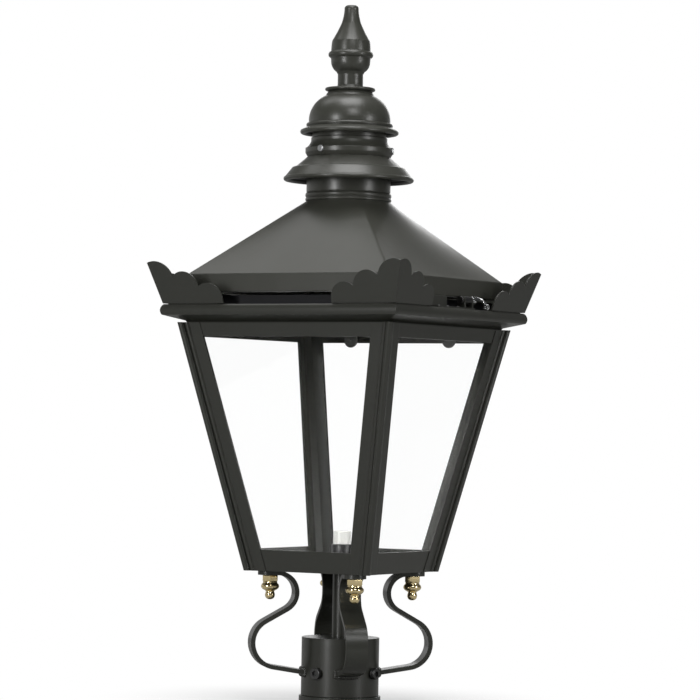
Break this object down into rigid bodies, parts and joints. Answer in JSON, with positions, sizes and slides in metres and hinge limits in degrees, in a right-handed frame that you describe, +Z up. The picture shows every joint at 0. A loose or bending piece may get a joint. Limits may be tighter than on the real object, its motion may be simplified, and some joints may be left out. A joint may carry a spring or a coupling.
{
  "type": "post top lantern",
  "caption": "Traditional four sided tapered post lantern: clear glazed body on S shaped legs and a clamping collar, scalloped crests, hinged vented roof with chimney and finial.",
  "frame": {"origin": "centre of the lower face of the post collar, on the axis of the post", "axes": "+Z up along the post; -Y and +X are the two walls seen in the picture; the roof is hinged over the -X wall and the catch is over the +X wall"},
  "size_m": [0.3318, 0.3318, 0.8002],
  "materials": {
    "black_paint": "satin powder coat, grey black",
    "roof_paint": "satin powder coat on spun and folded sheet",
    "brass": "polished",
    "clear_glass": "clear float glass",
    "porcelain": "white glazed porcelain",
    "dark_fitting": "black moulded fitting",
    "black_steel": "blackened screws",
    "bright_steel": "bright zinc plated",
    "polished_steel": "polished lever",
    "rubber": "black buffer"
  },
  "bodies": {
    "lantern": {"mounting_collar": "black_paint", "collar_base_ring": "black_paint", "collar_cap": "black_paint", "bottom_rail": "black_paint", "floor_plate": "black_paint", "top_rail": "black_paint", "pane_clips": "black_paint", "cable_conduit": "black_paint", "crown_rail": "black_paint", "hinge_fixed_leaves": "black_paint", "catch_bracket": "black_paint", "bracket_leg_1": "black_paint", "bracket_leg_2": "black_paint", "bracket_leg_3": "black_paint", "bracket_leg_4": "black_paint", "corner_bar_1": "black_paint", "corner_bar_2": "black_paint", "corner_bar_3": "black_paint", "corner_bar_4": "black_paint", "corner_crest_1": "black_paint", "corner_crest_2": "black_paint", "corner_crest_3": "black_paint", "corner_crest_4": "black_paint", "brass_finial_nuts": "brass", "lamp_contact": "brass", "glass_pane_1": "clear_glass", "glass_pane_2": "clear_glass", "glass_pane_3": "clear_glass", "glass_pane_4": "clear_glass", "lamp_holder": "porcelain", "lamp_holder_base": "dark_fitting", "hinge_pins": "black_steel", "corner_studs": "bright_steel", "floor_nuts": "bright_steel", "conduit_locknuts": "bright_steel", "lid_rests": "rubber"},
    "lid": {"roof_skirt": "roof_paint", "roof_shell": "roof_paint", "chimney_neck": "roof_paint", "lower_cowl": "roof_paint", "chimney_bell": "roof_paint", "upper_cowl": "roof_paint", "dome_cap": "roof_paint", "cap_disc": "roof_paint", "finial": "roof_paint", "chimney_spider": "roof_paint", "spider_hangers": "roof_paint", "chimney_tie_rod": "bright_steel", "tie_rod_nut": "bright_steel", "bell_screws": "bright_steel", "hinge_moving_leaves": "roof_paint"},
    "catch": {"catch_pin": "black_steel", "catch_cam": "black_steel", "catch_lever": "polished_steel"},
    "screw_1": {"set_screw_1": "black_steel"},
    "screw_2": {"set_screw_2": "black_steel"},
    "screw_3": {"set_screw_3": "black_steel"},
    "screw_4": {"set_screw_4": "black_steel"}
  },
  "joints": [
    {"name": "lid_hinge", "type": "hinge", "parent": "lantern", "child": "lid", "pos_m": [-0.139, 0, 0.478], "axis": [0, -1, 0], "range_deg": [0, 90]},
    {"name": "catch_pivot", "type": "hinge", "parent": "lantern", "child": "catch", "pos_m": [0.1402, 0.0285, 0.4611], "axis": [0, -1, 0], "range_deg": [0, 65]},
    {"name": "screw_1_travel", "type": "slide", "parent": "lantern", "child": "screw_1", "axis": [0.9976, -0.0698, 0], "range_m": [-0.0015, 0.006]},
    {"name": "screw_2_travel", "type": "slide", "parent": "lantern", "child": "screw_2", "axis": [0.0698, 0.9976, 0], "range_m": [-0.0015, 0.006]},
    {"name": "screw_3_travel", "type": "slide", "parent": "lantern", "child": "screw_3", "axis": [-0.9976, 0.0698, 0], "range_m": [-0.0015, 0.006]},
    {"name": "screw_4_travel", "type": "slide", "parent": "lantern", "child": "screw_4", "axis": [-0.0698, -0.9976, 0], "range_m": [-0.0015, 0.006]}
  ]
}
